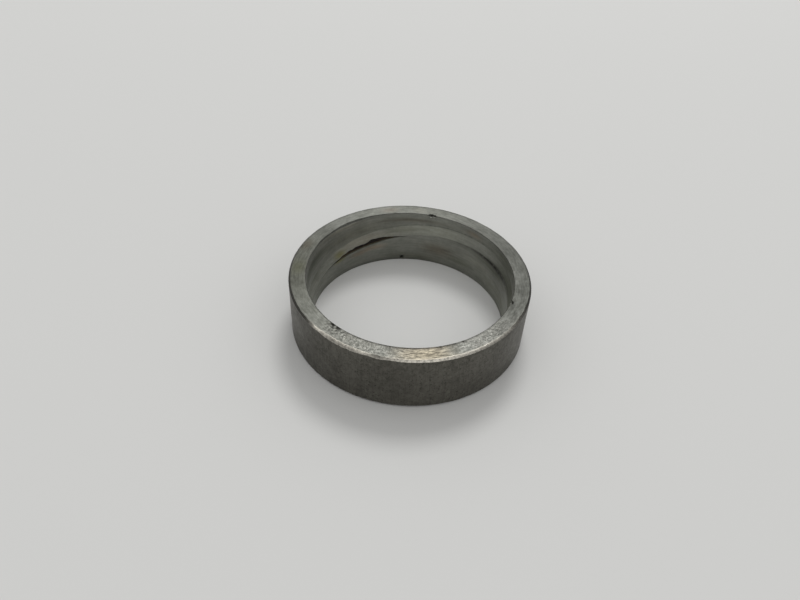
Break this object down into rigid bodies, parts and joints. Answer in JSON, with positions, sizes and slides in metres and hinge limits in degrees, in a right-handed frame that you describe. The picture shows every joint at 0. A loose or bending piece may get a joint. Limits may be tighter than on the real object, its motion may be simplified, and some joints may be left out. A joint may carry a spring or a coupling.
{
  "type": "spacer sleeve",
  "caption": "Turned steel spacer sleeve: a short plain ring with a through bore for a shaft, a counterbore ending on a slanted shoulder, and flat end faces.",
  "frame": {"origin": "centre of the lower end face, on the surface that the sleeve stands on", "axes": "+Z along the sleeve's axis, towards the end with the counterbore; +X to the viewer's right, -Y towards the viewer"},
  "size_m": [0.05, 0.05, 0.0128],
  "materials": {
    "steel": "bare turned steel, dull grey with fine pits, dark specks and a rust-stained crevice in the bore"
  },
  "bodies": {
    "root": {"spacer_sleeve": "steel"}
  },
  "joints": []
}
